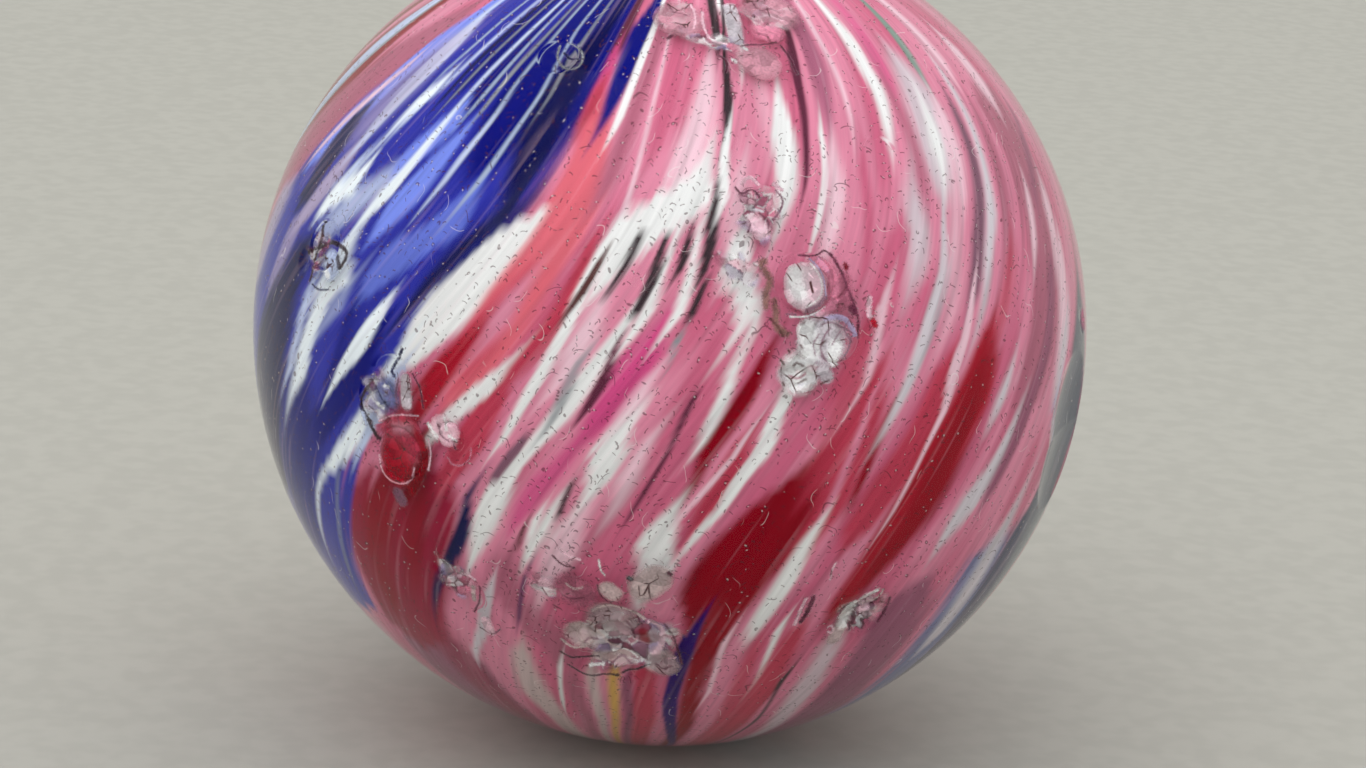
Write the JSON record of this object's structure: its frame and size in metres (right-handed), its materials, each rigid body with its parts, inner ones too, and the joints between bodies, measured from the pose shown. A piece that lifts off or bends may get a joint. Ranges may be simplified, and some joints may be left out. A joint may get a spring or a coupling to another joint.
{
  "type": "glass marble",
  "caption": "Handmade swirl marble of solid glass: a ball with pontil marks at its poles, worn by ring moons, pits and shell-shaped chips.",
  "frame": {"origin": "centre of the ball", "axes": "+Z along the axis that the glass swirls round, through both pontil marks; -Y towards the side that the picture shows, +X to its right"},
  "size_m": [0.044, 0.044, 0.0438],
  "materials": {
    "swirl_glass": "glossy clear skin over rose, white, red and blue swirls, scratched and chipped"
  },
  "bodies": {
    "root": {"marble": "swirl_glass"}
  },
  "joints": []
}
